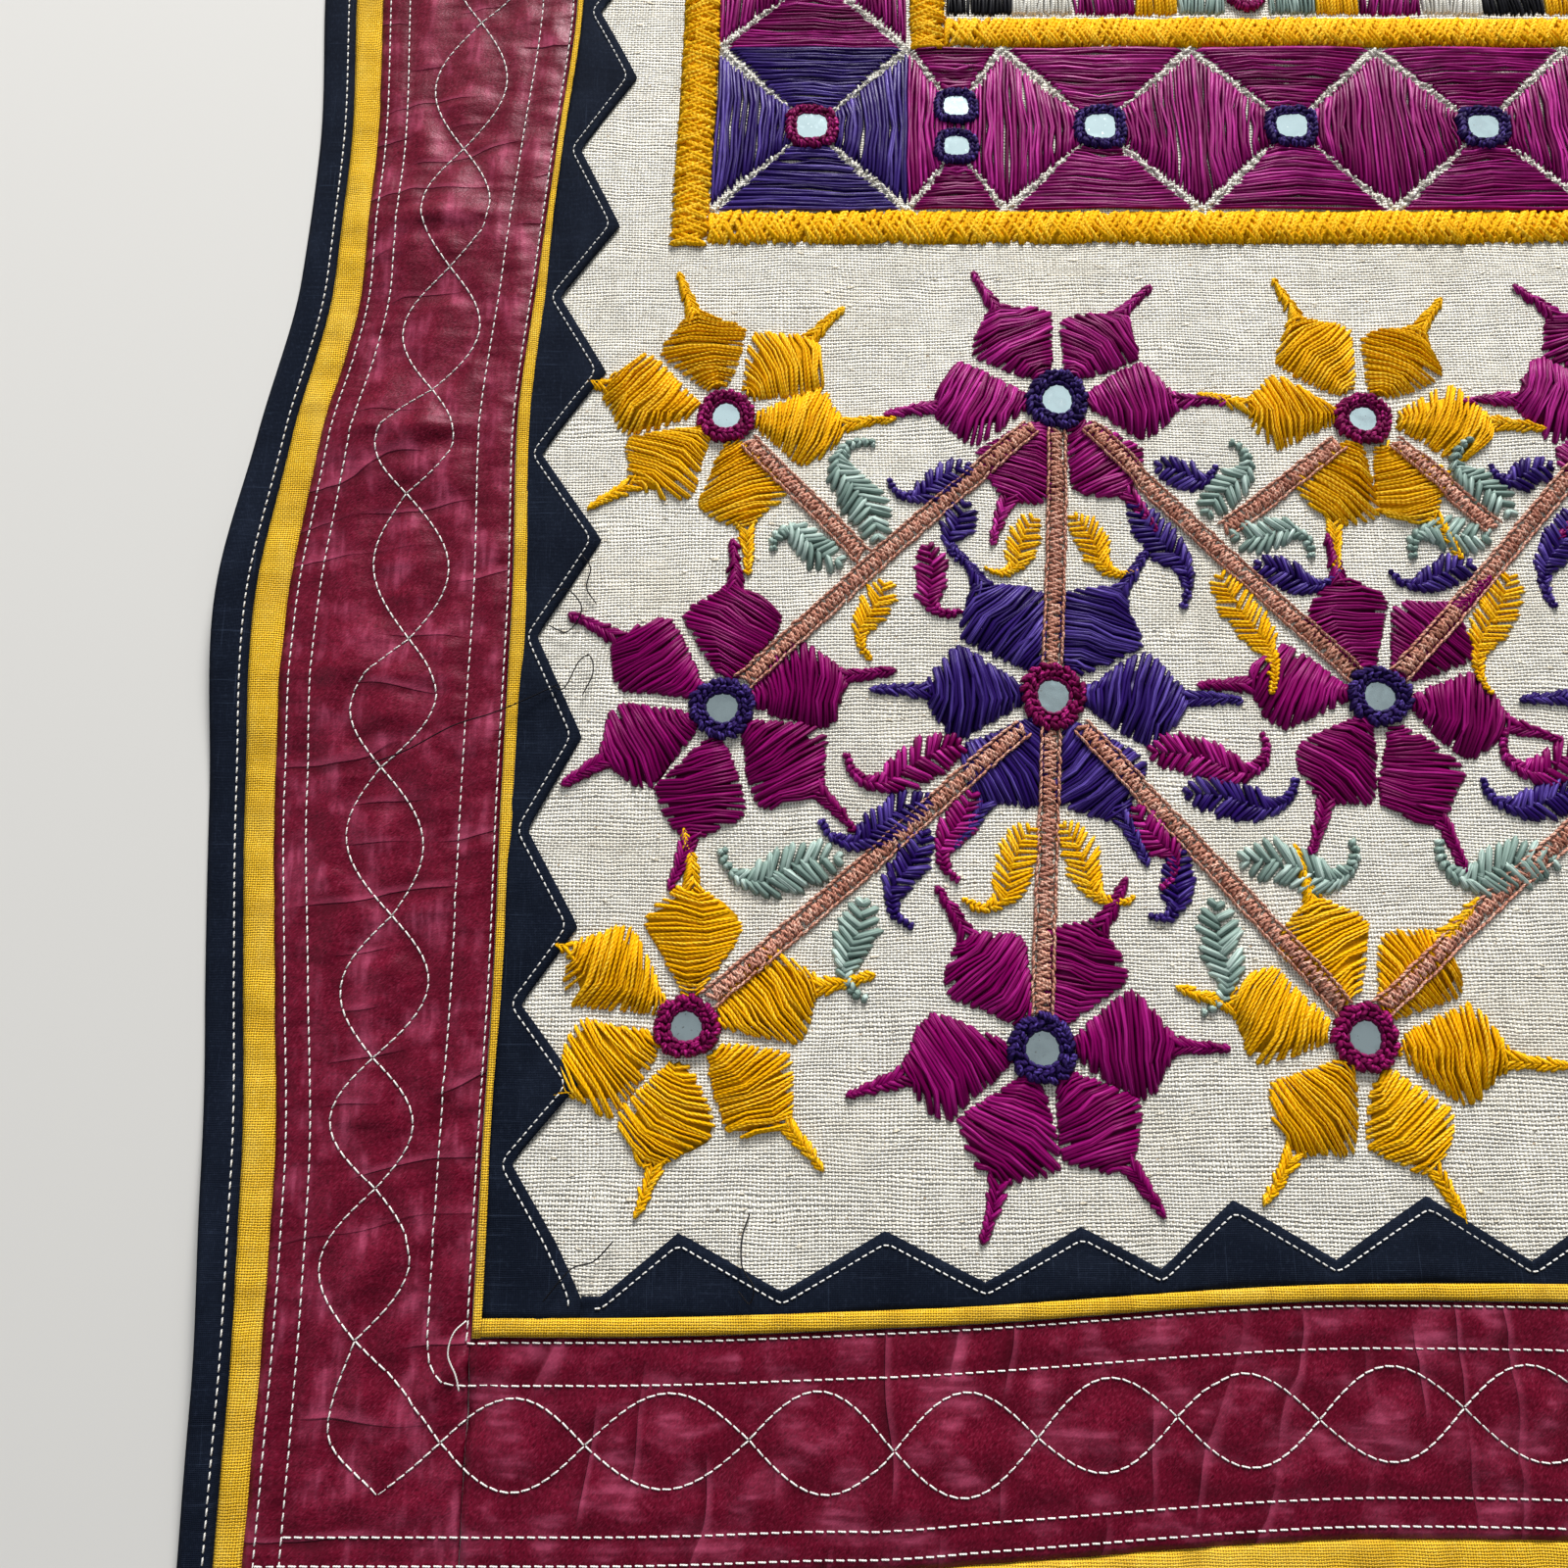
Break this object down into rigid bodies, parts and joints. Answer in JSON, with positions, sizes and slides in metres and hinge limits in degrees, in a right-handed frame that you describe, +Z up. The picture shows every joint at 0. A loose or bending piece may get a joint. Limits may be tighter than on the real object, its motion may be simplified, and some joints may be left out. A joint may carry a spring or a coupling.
{
  "type": "embroidered wall hanging",
  "caption": "Embroidered cotton wall hanging with small sewn-on mirrors, satin-stitch flowers, cut sawtooth strips and a quilted satin border, lying face up.",
  "frame": {"origin": "middle of the hanging's bounding box, on the surface that it lies on", "axes": "+Z up out of the embroidered face, +Y up the hanging towards its top edge, +X to the right"},
  "size_m": [0.6888, 1.082, 0.0059],
  "materials": {
    "undyed_cotton": "matte",
    "maroon_satin": "satin",
    "yellow_cotton": "matte",
    "navy_cotton": "matte",
    "mirror_glass": "polished",
    "yellow_thread": "satin",
    "magenta_thread": "satin",
    "purple_thread": "satin",
    "mint_thread": "satin",
    "rose_brown_thread": "satin",
    "charcoal_thread": "satin",
    "natural_thread": "satin",
    "white_sewing_thread": "satin"
  },
  "bodies": {
    "root": {"field_cloth": "undyed_cotton", "quilted_left": "maroon_satin", "sawtooth_left": "navy_cotton", "piping_left": "yellow_cotton", "band_left": "yellow_cotton", "binding_left": "navy_cotton", "quilted_right": "maroon_satin", "sawtooth_right": "navy_cotton", "piping_right": "yellow_cotton", "band_right": "yellow_cotton", "binding_right": "navy_cotton", "quilted_bottom": "maroon_satin", "sawtooth_bottom": "navy_cotton", "piping_bottom": "yellow_cotton", "band_bottom": "yellow_cotton", "binding_bottom": "navy_cotton", "quilted_top": "maroon_satin", "sawtooth_top": "navy_cotton", "piping_top": "yellow_cotton", "band_top": "yellow_cotton", "binding_top": "navy_cotton", "mirror_00": "mirror_glass", "mirror_01": "mirror_glass", "mirror_02": "mirror_glass", "mirror_03": "mirror_glass", "mirror_04": "mirror_glass", "mirror_05": "mirror_glass", "mirror_06": "mirror_glass", "mirror_07": "mirror_glass", "mirror_08": "mirror_glass", "mirror_09": "mirror_glass", "mirror_10": "mirror_glass", "mirror_11": "mirror_glass", "mirror_12": "mirror_glass", "mirror_13": "mirror_glass", "mirror_14": "mirror_glass", "mirror_15": "mirror_glass", "mirror_16": "mirror_glass", "mirror_17": "mirror_glass", "mirror_18": "mirror_glass", "mirror_19": "mirror_glass", "mirror_20": "mirror_glass", "mirror_21": "mirror_glass", "mirror_22": "mirror_glass", "mirror_23": "mirror_glass", "mirror_24": "mirror_glass", "mirror_25": "mirror_glass", "mirror_26": "mirror_glass", "mirror_27": "mirror_glass", "mirror_28": "mirror_glass", "mirror_29": "mirror_glass"}
  },
  "joints": []
}
